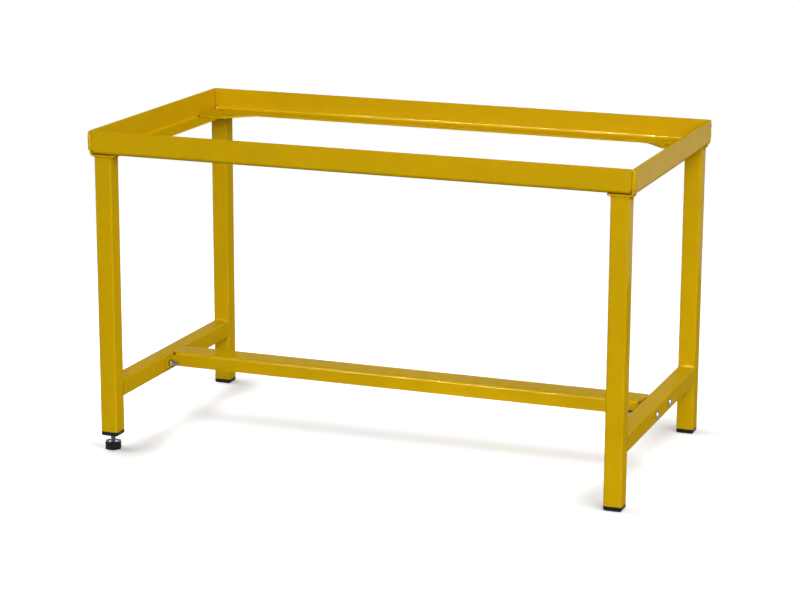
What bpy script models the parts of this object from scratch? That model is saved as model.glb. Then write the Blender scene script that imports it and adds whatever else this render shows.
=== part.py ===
"""Tool chest stand: a steel frame whose tray of folded angles holds a tool chest.

Metres, +Z up, +X along the tray and -Y to the front. The origin is on the floor below the middle of the tray.
"""

import math

import bmesh
import bpy
from mathutils import Vector

# Clearance left between pieces that touch
SEAT_GAP = 0.0003

# Tray: four angles folded from sheet
TRAY_LENGTH = 0.930
TRAY_DEPTH = 0.490
TRAY_TOP = 0.550
RAIL_HEIGHT = 0.040
RAIL_FLANGE = 0.043
RAIL_SHEET = 0.003
RAIL_BEND = 0.004
FLANGE_CORNER = 0.005
UPSTAND_CORNER = 0.003

# Tabs at the ends of the front and rear rails, which lie on the flanges of the end rails
TAB_DEPTH = 0.0875
TAB_LENGTH = 0.0415
TAB_CORNER = 0.010
FLARE_LENGTH = 0.061
NOTCH_MARGIN = 0.001

# Holes in the tabs: one over the leg's axis and one near the tab's inner edge
FIXING_HOLE = 0.011
INNER_HOLE_FROM_SIDE = 0.052
INNER_HOLE_FROM_EDGE = 0.024

# Legs and cross rails: one size of square tube
TUBE = 0.030
TUBE_WALL = 0.0015
TUBE_CORNER = 0.003
LEG_SETBACK = 0.002
LEG_SHORTENING = 0.025
CROSS_RAIL_HEIGHT = 0.090

# Stretcher: folded channel, open side down, with ears that bolt to the cross rails
STRETCHER_WIDTH = 0.051
STRETCHER_HEIGHT = 0.0245
STRETCHER_SHEET = 0.002
STRETCHER_BEND = 0.0025
STRETCHER_PROUD = 0.0005
EAR_WIDTH = 0.029
EAR_CORNER = 0.006
EAR_BEND = 0.002

# Bolts and nuts that hold the stretcher
BOLT_DIAMETER = 0.006
BOLT_FLATS = 0.010
BOLT_HEAD = 0.004
BOLT_PROUD = 0.010
NUT_HEIGHT = 0.006
NUT_COLLAR = 0.002

# Plastic inserts in the leg ends
CAP_RIM = 0.007
CAP_ROUND = 0.0025
FIN_COUNT = 3
FIN_PITCH = 0.006
FIN_REACH = 0.0015
PLUG_WALL = 0.002

# Levelling foot
STUD_DIAMETER = 0.008
STUD_LENGTH = 0.060
STUD_SPIGOT = 0.006
COLLAR_DIAMETER = 0.016
COLLAR_HEIGHT = 0.002
COLLAR_CLEARANCE = 0.0006
INSERT_NUT_FLATS = 0.013
INSERT_NUT_HEIGHT = 0.0065
BASE_FLATS = 0.026
BASE_HEIGHT = 0.0135
BASE_CORNER = 0.002
BASE_ROUND = 0.0012
BASE_TURN = math.radians(22.5)
RECESS_DEPTH = 0.003

# Small edges of fasteners and tubes
CHAMFER = 0.0006
SMALL_CORNER = 0.0003

# Points on round shapes
CORNER_STEPS = 4
HEX_STEPS = 2
EDGE_STEPS = 3
FOLD_STEPS = 6
FLARE_STEPS = 12
HOLE_SIDES = 24

# How far a cutter runs past what it cuts
CUT_PAST = 0.001

QUARTER_TURN = math.radians(90)
SHARP_ANGLE = math.radians(35)

# Sizes that follow from those above
RAIL_FOLD = RAIL_BEND + RAIL_SHEET
RAIL_UNDERSIDE = TRAY_TOP - RAIL_HEIGHT
END_RAIL_UNDERSIDE = RAIL_UNDERSIDE - SEAT_GAP - RAIL_SHEET
END_RAIL_HEIGHT = TRAY_TOP - END_RAIL_UNDERSIDE
RAIL_END = TRAY_LENGTH / 2 - RAIL_SHEET - SEAT_GAP
TAB_SIDE = TRAY_LENGTH / 2 - RAIL_FOLD - SEAT_GAP
NOTCH_HEIGHT = RAIL_FOLD + NOTCH_MARGIN
LEG_TOP = END_RAIL_UNDERSIDE - SEAT_GAP
LEG_X = TRAY_LENGTH / 2 - RAIL_FOLD - TUBE / 2
LEG_Y = TRAY_DEPTH / 2 - LEG_SETBACK - TUBE / 2
INNER_HOLE_X = TAB_SIDE - INNER_HOLE_FROM_SIDE
INNER_HOLE_Y = TRAY_DEPTH / 2 - TAB_DEPTH + INNER_HOLE_FROM_EDGE
CROSS_RAIL_LENGTH = 2 * (LEG_Y - TUBE / 2 - SEAT_GAP)
CROSS_RAIL_INNER = LEG_X - TUBE / 2
CROSS_RAIL_OUTER = LEG_X + TUBE / 2
STRETCHER_TOP = CROSS_RAIL_HEIGHT + TUBE + STRETCHER_PROUD
STRETCHER_BOTTOM = STRETCHER_TOP - STRETCHER_HEIGHT
STRETCHER_FOLD = STRETCHER_BEND + STRETCHER_SHEET
STRETCHER_END = CROSS_RAIL_INNER - SEAT_GAP
EAR_FACE = STRETCHER_END - STRETCHER_SHEET
EAR_START = EAR_FACE - EAR_BEND
BOLT_Y = (STRETCHER_WIDTH + EAR_WIDTH) / 2
BOLT_Z = CROSS_RAIL_HEIGHT + TUBE / 2
BOLT_SEAT = CROSS_RAIL_OUTER + SEAT_GAP
NUT_SEAT = EAR_FACE - SEAT_GAP
BOLT_LENGTH = BOLT_SEAT - NUT_SEAT + NUT_HEIGHT + BOLT_PROUD
FIN_SIZE = TUBE - 2 * (TUBE_WALL + SEAT_GAP)
PLUG_SIZE = FIN_SIZE - 2 * FIN_REACH
PLUG_TOP = CAP_RIM + FIN_COUNT * FIN_PITCH
INSERT_NUT_FLOOR = PLUG_TOP - INSERT_NUT_HEIGHT - SEAT_GAP
COLLAR_SEAT = BASE_HEIGHT - RECESS_DEPTH + SEAT_GAP

CORNERS = {"front_left": (-1, -1), "front_right": (1, -1), "rear_left": (-1, 1), "rear_right": (1, 1)}
LEVELLED_CORNER = "front_left"
ENDS = {"left": -1, "right": 1}
SIDES = {"front": -1, "rear": 1}


def clear_scene():
    for item in list(bpy.data.objects):
        bpy.data.objects.remove(item, do_unlink=True)


def new_material(name, color, roughness, metallic):
    material = bpy.data.materials.new(name)
    material.use_nodes = True
    shader = material.node_tree.nodes["Principled BSDF"]
    shader.inputs["Base Color"].default_value = (*color, 1.0)
    shader.inputs["Roughness"].default_value = roughness
    shader.inputs["Metallic"].default_value = metallic
    return material


def add_object(name, mesh, material=None, location=(0, 0, 0), rotation=(0, 0, 0)):
    """Link a mesh into the scene as a named object."""
    item = bpy.data.objects.new(name, mesh)
    item.location = location
    item.rotation_euler = rotation
    if material:
        mesh.materials.clear()
        mesh.materials.append(material)
    bpy.context.scene.collection.objects.link(item)
    return item


def finish_mesh(name, work):
    """Turn a bmesh into a mesh with smooth round faces and sharp edges."""
    mesh = bpy.data.meshes.new(name)
    work.to_mesh(mesh)
    work.free()
    mesh.shade_smooth()
    mesh.set_sharp_from_angle(angle=SHARP_ANGLE)
    return mesh


# Outlines and lofts

def rounded_polygon(sides, flats, corner, z, steps):
    """Loop of a regular polygon with round corners, steps + 1 points on each corner."""
    half_corner = math.pi / sides
    reach = (flats / 2 - corner) / math.cos(half_corner)
    points = []
    for index in range(sides):
        middle = half_corner * (2 * index + 1)
        for step in range(steps + 1):
            angle = middle + half_corner * (2 * step / steps - 1)
            x = reach * math.cos(middle) + corner * math.cos(angle)
            y = reach * math.sin(middle) + corner * math.sin(angle)
            points.append(Vector((x, y, z)))
    return points


def square(size, z, corner=TUBE_CORNER):
    return rounded_polygon(4, size, corner, z, CORNER_STEPS)


def hexagon(flats, z, corner=SMALL_CORNER):
    return rounded_polygon(6, flats, corner, z, HEX_STEPS)


def circle(diameter, z, count=6 * (HEX_STEPS + 1)):
    """Loop of a circle, with as many points as a hexagon unless told otherwise."""
    points = []
    for index in range(count):
        angle = 2 * math.pi * index / count
        points.append(Vector((diameter / 2 * math.cos(angle), diameter / 2 * math.sin(angle), z)))
    return points


def loft(name, loops, closed=False):
    """Skin a stack of loops: an open stack gets end faces, a closed one joins its last loop to its first."""
    work = bmesh.new()
    rows = [[work.verts.new(point) for point in loop] for loop in loops]
    pairs = list(zip(rows, rows[1:]))
    if closed:
        pairs.append((rows[-1], rows[0]))
    else:
        work.faces.new(rows[0])
        work.faces.new(rows[-1])
    for low, high in pairs:
        for index in range(len(low)):
            after = (index + 1) % len(low)
            work.faces.new((low[index], low[after], high[after], high[index]))
    bmesh.ops.recalc_face_normals(work, faces=work.faces)
    return finish_mesh(name, work)


# Cutters and sheet

def add_cutter(name, cylinders, diameter):
    """One hidden mesh of round cutters, each given by its start and end."""
    work = bmesh.new()
    for start, end in cylinders:
        span = end - start
        turn = span.to_track_quat("Z", "Y")
        rows = []
        for height in (0, span.length):
            ring = circle(diameter, height, HOLE_SIDES)
            rows.append([work.verts.new(start + turn @ point) for point in ring])
        work.faces.new(list(reversed(rows[0])))
        work.faces.new(rows[1])
        for index in range(HOLE_SIDES):
            after = (index + 1) % HOLE_SIDES
            work.faces.new((rows[0][index], rows[0][after], rows[1][after], rows[1][index]))
    return hide_cutter(add_object(name, finish_mesh(name, work)))


def hide_cutter(cutter):
    cutter.hide_render = True
    cutter.display_type = "WIRE"
    return cutter


def cut(item, cutter):
    modifier = item.modifiers.new(cutter.name, "BOOLEAN")
    modifier.operation = "DIFFERENCE"
    modifier.solver = "EXACT"
    modifier.object = cutter


def thicken(item, thickness):
    """Give an open surface its sheet thickness, inward from the face it models."""
    modifier = item.modifiers.new("sheet", "SOLIDIFY")
    modifier.thickness = thickness
    modifier.offset = -1
    modifier.use_even_offset = True


def rounded_edge(full, corner, from_end):
    """Reach of an edge at a distance from its end, where the end has a round corner."""
    if from_end >= corner:
        return full
    return full - corner + math.sqrt(corner ** 2 - (corner - from_end) ** 2)


def corner_offsets(corner):
    """Distances from an end at which a round corner has its points, outermost last."""
    return [corner * (1 - math.sin(QUARTER_TURN * step / CORNER_STEPS)) for step in range(CORNER_STEPS + 1)]


# Tray rails

def angle_row(along, top, depth):
    """Outer face of an angle at one place along it: upstand, fold and flange, or the upstand alone."""
    points = [Vector((along, 0, top)), Vector((along, 0, NOTCH_HEIGHT))]
    if depth is None:
        return points
    for step in range(FOLD_STEPS + 1):
        angle = QUARTER_TURN * step / FOLD_STEPS
        points.append(Vector((along, RAIL_FOLD * (1 - math.cos(angle)), RAIL_FOLD * (1 - math.sin(angle)))))
    points.append(Vector((along, depth, 0)))
    return points


def angle_mesh(name, half_rows):
    """Surface of an angle that is alike about its middle; half_rows run from the middle to one end."""
    rows = [(-along, top, depth) for along, top, depth in reversed(half_rows)] + half_rows
    work = bmesh.new()
    columns = [[work.verts.new(point) for point in angle_row(*row)] for row in rows]
    for here, there in zip(columns, columns[1:]):
        for index in range(min(len(here), len(there)) - 1):
            work.faces.new((here[index], here[index + 1], there[index + 1], there[index]))
    return finish_mesh(name, work)


def long_rail_mesh():
    """Front or rear rail: its flange widens in an S to a tab that stops short of the end rail's fold."""
    flare_start = TAB_SIDE - TAB_LENGTH - FLARE_LENGTH
    half_rows = []
    for step in range(FLARE_STEPS + 1):
        share = step / FLARE_STEPS
        widening = (1 - math.cos(math.pi * share)) / 2
        depth = RAIL_FLANGE + (TAB_DEPTH - RAIL_FLANGE) * widening
        half_rows.append((flare_start + FLARE_LENGTH * share, RAIL_HEIGHT, depth))
    for offset in corner_offsets(TAB_CORNER):
        half_rows.append((TAB_SIDE - offset, RAIL_HEIGHT, rounded_edge(TAB_DEPTH, TAB_CORNER, offset)))
    half_rows.append((RAIL_END, RAIL_HEIGHT, None))
    return angle_mesh("long_rail", half_rows)


def end_rail_mesh():
    """End rail: a plain angle with round corners on its upstand and its flange."""
    offsets = sorted(set(corner_offsets(FLANGE_CORNER) + corner_offsets(UPSTAND_CORNER)), reverse=True)
    half_rows = []
    for offset in offsets:
        top = rounded_edge(END_RAIL_HEIGHT, UPSTAND_CORNER, offset)
        depth = rounded_edge(RAIL_FLANGE, FLANGE_CORNER, offset)
        half_rows.append((TRAY_DEPTH / 2 - offset, top, depth))
    return angle_mesh("end_rail", half_rows)


def fixing_hole_cutter():
    low = END_RAIL_UNDERSIDE - CUT_PAST
    high = RAIL_UNDERSIDE + RAIL_SHEET + CUT_PAST
    cylinders = []
    for x_sign, y_sign in CORNERS.values():
        for x, y in ((LEG_X, LEG_Y), (INNER_HOLE_X, INNER_HOLE_Y)):
            cylinders.append((Vector((x_sign * x, y_sign * y, low)), Vector((x_sign * x, y_sign * y, high))))
    return add_cutter("fixing_hole_cutter", cylinders, FIXING_HOLE)


def add_tray(paint):
    holes = fixing_hole_cutter()
    long_rail = long_rail_mesh()
    end_rail = end_rail_mesh()
    rails = [
        add_object("front_rail", long_rail, paint, (0, -TRAY_DEPTH / 2, RAIL_UNDERSIDE)),
        add_object("rear_rail", long_rail, paint, (0, TRAY_DEPTH / 2, RAIL_UNDERSIDE), (0, 0, math.pi)),
    ]
    for end, sign in ENDS.items():
        place = (sign * TRAY_LENGTH / 2, 0, END_RAIL_UNDERSIDE)
        rails.append(add_object(end + "_end_rail", end_rail, paint, place, (0, 0, sign * QUARTER_TURN)))
    for rail in rails:
        thicken(rail, RAIL_SHEET)
        cut(rail, holes)


# Legs, cross rails and stretcher

def tube_mesh(name, length):
    """Square tube standing on its local origin."""
    inner = TUBE - 2 * TUBE_WALL
    inner_corner = max(TUBE_CORNER - TUBE_WALL, SMALL_CORNER)
    loops = [
        square(TUBE, 0),
        square(TUBE, length),
        square(inner, length, inner_corner),
        square(inner, 0, inner_corner),
    ]
    return loft(name, loops, closed=True)


def insert_height(corner):
    """Height of the underside of a leg's insert above the floor."""
    return LEG_SHORTENING if corner == LEVELLED_CORNER else 0.0


def add_legs(paint):
    for corner, (x_sign, y_sign) in CORNERS.items():
        name = corner + "_leg"
        bottom = insert_height(corner) + CAP_RIM + SEAT_GAP
        mesh = tube_mesh(name, LEG_TOP - bottom)
        add_object(name, mesh, paint, (x_sign * LEG_X, y_sign * LEG_Y, bottom))


def bolt_hole_cutter():
    cylinders = []
    for x_sign in ENDS.values():
        for y_sign in SIDES.values():
            start = Vector((x_sign * (EAR_FACE - CUT_PAST), y_sign * BOLT_Y, BOLT_Z))
            end = Vector((x_sign * (CROSS_RAIL_OUTER + CUT_PAST), y_sign * BOLT_Y, BOLT_Z))
            cylinders.append((start, end))
    return add_cutter("bolt_hole_cutter", cylinders, BOLT_DIAMETER + 2 * SEAT_GAP)


def add_cross_rails(paint, holes):
    for end, sign in ENDS.items():
        name = end + "_cross_rail"
        mesh = tube_mesh(name, CROSS_RAIL_LENGTH)
        place = (sign * LEG_X, CROSS_RAIL_LENGTH / 2, BOLT_Z)
        cut(add_object(name, mesh, paint, place, (QUARTER_TURN, 0, 0)), holes)


def stretcher_section():
    """Outer face of the channel across its length, from its front lower edge over the top to its rear one."""
    half = STRETCHER_WIDTH / 2
    shoulder = STRETCHER_TOP - STRETCHER_FOLD
    front = [(-half, STRETCHER_BOTTOM)]
    for step in range(FOLD_STEPS + 1):
        angle = QUARTER_TURN * step / FOLD_STEPS
        front.append((-half + STRETCHER_FOLD * (1 - math.cos(angle)), shoulder + STRETCHER_FOLD * math.sin(angle)))
    return front + [(-y, z) for y, z in reversed(front)]


def ear_strip():
    """Path of an ear past the end of the channel's side: (along, out, trim of its upper and lower edges)."""
    strip = []
    for step in range(1, FOLD_STEPS + 1):
        angle = QUARTER_TURN * step / FOLD_STEPS
        strip.append((EAR_BEND * math.sin(angle), EAR_BEND * (1 - math.cos(angle)), 0.0))
    for offset in corner_offsets(EAR_CORNER):
        strip.append((EAR_BEND, EAR_WIDTH - offset, EAR_CORNER - rounded_edge(EAR_CORNER, EAR_CORNER, offset)))
    return strip


def stretcher_mesh():
    section = stretcher_section()
    last = len(section) - 1
    flat_front = FOLD_STEPS + 1
    flat_rear = last - flat_front
    work = bmesh.new()
    rows = {sign: [work.verts.new((sign * EAR_START, y, z)) for y, z in section] for sign in ENDS.values()}
    for index in range(last):
        work.faces.new((rows[-1][index], rows[1][index], rows[1][index + 1], rows[-1][index + 1]))
    for x_sign in ENDS.values():
        row = rows[x_sign]
        top_end = [work.verts.new((x_sign * STRETCHER_END, *section[index])) for index in (flat_front, flat_rear)]
        top_face = [row[flat_front], top_end[0], top_end[1], row[flat_rear]]
        work.faces.new(top_face if x_sign > 0 else list(reversed(top_face)))
        for y_sign in SIDES.values():
            low, high = (row[0], row[1]) if y_sign < 0 else (row[last], row[last - 1])
            for along, out, trim in ear_strip():
                x = x_sign * (EAR_START + along)
                y = y_sign * (STRETCHER_WIDTH / 2 + out)
                next_low = work.verts.new((x, y, STRETCHER_BOTTOM + trim))
                next_high = work.verts.new((x, y, STRETCHER_TOP - STRETCHER_FOLD - trim))
                face = [low, next_low, next_high, high]
                work.faces.new(face if x_sign * y_sign < 0 else list(reversed(face)))
                low, high = next_low, next_high
    return finish_mesh("stretcher", work)


def add_stretcher(paint, holes):
    stretcher = add_object("stretcher", stretcher_mesh(), paint)
    thicken(stretcher, STRETCHER_SHEET)
    cut(stretcher, holes)


# Fasteners

def bolt_mesh():
    """Hex bolt: its head stands on the local origin and its shank runs down from there."""
    loops = [
        circle(BOLT_DIAMETER - 2 * CHAMFER, -BOLT_LENGTH),
        circle(BOLT_DIAMETER, -BOLT_LENGTH + CHAMFER),
        circle(BOLT_DIAMETER, 0),
        hexagon(BOLT_FLATS, 0),
        hexagon(BOLT_FLATS, BOLT_HEAD - CHAMFER),
        circle(BOLT_FLATS - CHAMFER, BOLT_HEAD),
    ]
    return loft("stretcher_bolt", loops)


def nut_mesh():
    """Locking nut: a hexagon with a round collar, its bearing face on the local origin."""
    bore = BOLT_DIAMETER + 2 * SEAT_GAP
    hex_top = NUT_HEIGHT - NUT_COLLAR
    collar = (BOLT_FLATS + bore) / 2
    loops = [
        hexagon(BOLT_FLATS, 0),
        hexagon(BOLT_FLATS, hex_top - CHAMFER),
        circle(BOLT_FLATS - CHAMFER, hex_top),
        circle(collar, hex_top),
        circle(collar, NUT_HEIGHT),
        circle(bore, NUT_HEIGHT),
        circle(bore, 0),
    ]
    return loft("stretcher_nut", loops, closed=True)


def add_fasteners(zinc):
    bolt = bolt_mesh()
    nut = nut_mesh()
    for end, x_sign in ENDS.items():
        for side, y_sign in SIDES.items():
            name = end + "_" + side
            outward = (0, x_sign * QUARTER_TURN, 0)
            inward = (0, -x_sign * QUARTER_TURN, 0)
            add_object(name + "_bolt", bolt, zinc, (x_sign * BOLT_SEAT, y_sign * BOLT_Y, BOLT_Z), outward)
            add_object(name + "_nut", nut, zinc, (x_sign * NUT_SEAT, y_sign * BOLT_Y, BOLT_Z), inward)


# Feet

def insert_loops():
    """Outside of a leg insert: a rim with a round lower edge, then a plug with tapered fins."""
    loops = []
    for step in range(EDGE_STEPS + 1):
        angle = QUARTER_TURN * step / EDGE_STEPS
        loops.append(square(TUBE - 2 * CAP_ROUND * (1 - math.sin(angle)), CAP_ROUND * (1 - math.cos(angle))))
    loops.append(square(TUBE, CAP_RIM))
    for fin in range(FIN_COUNT):
        loops.append(square(PLUG_SIZE, CAP_RIM + fin * FIN_PITCH))
        loops.append(square(FIN_SIZE, CAP_RIM + (fin + 0.5) * FIN_PITCH))
    loops.append(square(PLUG_SIZE, PLUG_TOP))
    return loops


def add_foot_caps(plastic):
    """Plain inserts, hollow from the top, in the three legs that stand on their caps."""
    hollow = PLUG_SIZE - 2 * PLUG_WALL
    mesh = loft("foot_cap", insert_loops() + [square(hollow, PLUG_TOP), square(hollow, CAP_RIM)])
    for corner, (x_sign, y_sign) in CORNERS.items():
        if corner != LEVELLED_CORNER:
            add_object(corner + "_foot_cap", mesh, plastic, (x_sign * LEG_X, y_sign * LEG_Y, 0))


def add_threaded_insert(plastic, zinc, place):
    """Insert that the levelling stud screws through, with its nut in a pocket in the top."""
    bore = STUD_DIAMETER + 2 * SEAT_GAP
    pocket = INSERT_NUT_FLATS + 2 * SEAT_GAP
    loops = [
        circle(bore, -CUT_PAST),
        circle(bore, INSERT_NUT_FLOOR),
        hexagon(pocket, INSERT_NUT_FLOOR),
        hexagon(pocket, PLUG_TOP + CUT_PAST),
    ]
    cutter = hide_cutter(add_object("insert_cutter", loft("insert_cutter", loops), None, place))
    cut(add_object("threaded_insert", loft("threaded_insert", insert_loops()), plastic, place), cutter)
    low = INSERT_NUT_FLOOR + SEAT_GAP
    nut_loops = [
        circle(INSERT_NUT_FLATS - CHAMFER, low),
        hexagon(INSERT_NUT_FLATS, low + CHAMFER),
        hexagon(INSERT_NUT_FLATS, PLUG_TOP - CHAMFER),
        circle(INSERT_NUT_FLATS - CHAMFER, PLUG_TOP),
        circle(bore, PLUG_TOP),
        circle(bore, low),
    ]
    add_object("insert_nut", loft("insert_nut", nut_loops, closed=True), zinc, place)


def stud_mesh():
    """Levelling stud: a spigot in the base, a collar on it and the thread above."""
    top = COLLAR_SEAT + STUD_LENGTH
    loops = [
        circle(STUD_DIAMETER - 2 * CHAMFER, COLLAR_SEAT - STUD_SPIGOT),
        circle(STUD_DIAMETER, COLLAR_SEAT - STUD_SPIGOT + CHAMFER),
        circle(STUD_DIAMETER, COLLAR_SEAT),
        circle(COLLAR_DIAMETER, COLLAR_SEAT),
        circle(COLLAR_DIAMETER, COLLAR_SEAT + COLLAR_HEIGHT),
        circle(STUD_DIAMETER, COLLAR_SEAT + COLLAR_HEIGHT),
        circle(STUD_DIAMETER, top - CHAMFER),
        circle(STUD_DIAMETER - 2 * CHAMFER, top),
    ]
    return loft("levelling_stud", loops)


def base_mesh():
    """Hexagonal base with round edges, a recess for the stud's collar and a socket for its spigot."""
    recess = COLLAR_DIAMETER + 2 * COLLAR_CLEARANCE
    socket = STUD_DIAMETER + 2 * SEAT_GAP
    recess_floor = BASE_HEIGHT - RECESS_DEPTH
    lower = []
    upper = []
    for step in range(EDGE_STEPS + 1):
        angle = QUARTER_TURN * step / EDGE_STEPS
        flats = BASE_FLATS - 2 * BASE_ROUND * (1 - math.sin(angle))
        rise = BASE_ROUND * (1 - math.cos(angle))
        lower.append(hexagon(flats, rise, BASE_CORNER))
        upper.append(hexagon(flats, BASE_HEIGHT - rise, BASE_CORNER))
    hollow = [
        circle(recess, BASE_HEIGHT),
        circle(recess, recess_floor),
        circle(socket, recess_floor),
        circle(socket, COLLAR_SEAT - STUD_SPIGOT - SEAT_GAP),
    ]
    return loft("levelling_base", lower + list(reversed(upper)) + hollow)


def add_levelling_foot(plastic, zinc):
    """Stud and base hang on an empty that stands on the axis they turn and slide on."""
    x_sign, y_sign = CORNERS[LEVELLED_CORNER]
    x = x_sign * LEG_X
    y = y_sign * LEG_Y
    add_threaded_insert(plastic, zinc, (x, y, LEG_SHORTENING))
    axis = add_object("levelling_axis", None, None, (x, y, 0), (0, 0, BASE_TURN))
    for name, mesh, material in (
        ("levelling_stud", stud_mesh(), zinc),
        ("levelling_base", base_mesh(), plastic),
    ):
        add_object(name, mesh, material).parent = axis


def main():
    clear_scene()
    paint = new_material("yellow_paint", (0.58, 0.36, 0.004), 0.3, 0.0)
    plastic = new_material("black_plastic", (0.012, 0.012, 0.013), 0.5, 0.0)
    zinc = new_material("zinc_plate", (0.62, 0.64, 0.68), 0.3, 1.0)
    bolt_holes = bolt_hole_cutter()
    add_tray(paint)
    add_legs(paint)
    add_cross_rails(paint, bolt_holes)
    add_stretcher(paint, bolt_holes)
    add_fasteners(zinc)
    add_foot_caps(plastic)
    add_levelling_foot(plastic, zinc)
    bpy.context.view_layer.update()


main()
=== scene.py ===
"""Looks of the tool chest stand: finer shapes, weld beads, finishes, light and camera.

Metres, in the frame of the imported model: +Z up, +X along the tray and -Y to the front.
"""

import math

import bmesh
import bpy
from mathutils import Matrix, Vector, noise


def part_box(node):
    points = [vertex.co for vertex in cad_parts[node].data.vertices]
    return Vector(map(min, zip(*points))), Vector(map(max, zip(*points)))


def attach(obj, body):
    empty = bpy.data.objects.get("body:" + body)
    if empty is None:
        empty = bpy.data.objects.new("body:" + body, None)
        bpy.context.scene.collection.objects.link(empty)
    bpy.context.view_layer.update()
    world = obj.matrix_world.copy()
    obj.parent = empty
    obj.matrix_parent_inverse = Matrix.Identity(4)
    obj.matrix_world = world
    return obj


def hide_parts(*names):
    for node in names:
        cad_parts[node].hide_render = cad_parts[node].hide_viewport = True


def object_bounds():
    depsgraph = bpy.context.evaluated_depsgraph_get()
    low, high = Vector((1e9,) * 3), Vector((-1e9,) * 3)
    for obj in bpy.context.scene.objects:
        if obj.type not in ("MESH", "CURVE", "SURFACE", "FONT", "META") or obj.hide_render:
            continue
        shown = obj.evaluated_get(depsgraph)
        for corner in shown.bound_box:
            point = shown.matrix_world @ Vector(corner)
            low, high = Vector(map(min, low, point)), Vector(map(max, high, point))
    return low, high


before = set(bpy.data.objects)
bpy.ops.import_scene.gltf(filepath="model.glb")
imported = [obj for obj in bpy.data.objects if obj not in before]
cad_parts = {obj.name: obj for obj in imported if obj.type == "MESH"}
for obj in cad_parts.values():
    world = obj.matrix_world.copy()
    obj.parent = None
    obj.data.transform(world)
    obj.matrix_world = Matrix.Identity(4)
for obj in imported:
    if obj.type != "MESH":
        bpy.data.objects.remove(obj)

cad_low, cad_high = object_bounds()

# Tray and tubes, as the solids have them
TRAY_LENGTH = cad_high.x - cad_low.x
TRAY_DEPTH = cad_high.y - cad_low.y
TRAY_TOP = cad_high.z
FRONT_RAIL_LOW, FRONT_RAIL_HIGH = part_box("front_rail")
END_RAIL_LOW, END_RAIL_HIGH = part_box("left_end_rail")
LEG_LOW, LEG_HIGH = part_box("front_right_leg")
CROSS_LOW, CROSS_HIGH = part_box("right_cross_rail")
STRETCHER_LOW, STRETCHER_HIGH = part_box("stretcher")
INSERT_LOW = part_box("threaded_insert")[0]
STUD_LOW, STUD_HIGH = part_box("levelling_stud")
BASE_LOW, BASE_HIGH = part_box("levelling_base")
BOLT_LOW, BOLT_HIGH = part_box("right_front_bolt")
NUT_LOW, NUT_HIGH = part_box("right_front_nut")
SEAT_GAP = 0.0003

RAIL_UNDERSIDE = FRONT_RAIL_LOW.z
RAIL_HEIGHT = TRAY_TOP - RAIL_UNDERSIDE
RAIL_END = FRONT_RAIL_HIGH.x
TAB_DEPTH = FRONT_RAIL_HIGH.y - FRONT_RAIL_LOW.y
END_RAIL_UNDERSIDE = END_RAIL_LOW.z
END_RAIL_HEIGHT = TRAY_TOP - END_RAIL_UNDERSIDE
RAIL_FLANGE = END_RAIL_HIGH.x - END_RAIL_LOW.x
RAIL_SHEET = 0.003
RAIL_FOLD = 0.007
FLANGE_CORNER = 0.005
UPSTAND_CORNER = 0.003
TAB_LENGTH = 0.0431
TAB_CORNER = 0.010
TAB_GAP = 0.0027
FLARE_LENGTH = 0.061
NOTCH_HEIGHT = 0.008
TAB_SIDE = TRAY_LENGTH / 2 - RAIL_SHEET - TAB_GAP

FIXING_HOLE = 0.011
INNER_HOLE_FROM_SIDE = 0.0536
INNER_HOLE_FROM_EDGE = 0.024

TUBE = LEG_HIGH.x - LEG_LOW.x
TUBE_WALL = 0.0015
TUBE_CORNER = 0.003
LEG_X = (LEG_LOW.x + LEG_HIGH.x) / 2
LEG_Y = -(LEG_LOW.y + LEG_HIGH.y) / 2
LEG_TOP = LEG_HIGH.z
BOLT_Z = (CROSS_LOW.z + CROSS_HIGH.z) / 2

# Stretcher
STRETCHER_WIDTH = 0.051
STRETCHER_SHEET = 0.002
STRETCHER_FOLD = 0.0045
STRETCHER_TOP = STRETCHER_HIGH.z
STRETCHER_BOTTOM = STRETCHER_LOW.z
STRETCHER_END = STRETCHER_HIGH.x
EAR_WIDTH = STRETCHER_HIGH.y - STRETCHER_WIDTH / 2
EAR_CORNER = 0.006
EAR_BEND = 0.002
EAR_START = STRETCHER_END - STRETCHER_SHEET - EAR_BEND
RELIEF_HOLE = 0.0056
RELIEF_ALONG = 0.0004
RELIEF_DROP = 0.0034
RELIEF_REACH = 0.012
BOLT_Y = -(BOLT_LOW.y + BOLT_HIGH.y) / 2

# Bolts, nuts and threads
BOLT_DIAMETER = 0.006
BOLT_PITCH = 0.001
BOLT_FLATS = 0.010
BOLT_HEAD = 0.004
BOLT_DISH_RIM = 0.8
BOLT_DISH_FLOOR = 0.7
BOLT_SEAT = BOLT_HIGH.x - BOLT_HEAD
BOLT_LENGTH = BOLT_SEAT - BOLT_LOW.x
BOLT_THREADED = 0.016
NUT_SEAT = NUT_HIGH.x
NUT_HEIGHT = NUT_HIGH.x - NUT_LOW.x
NUT_COLLAR = 0.002
NUT_COLLAR_INSET = 0.0016
THREAD_DEPTH = 0.61
THREAD_GROOVE = 1.15
THREAD_FLANK = 1.3
THREAD_ROWS = 8

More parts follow.
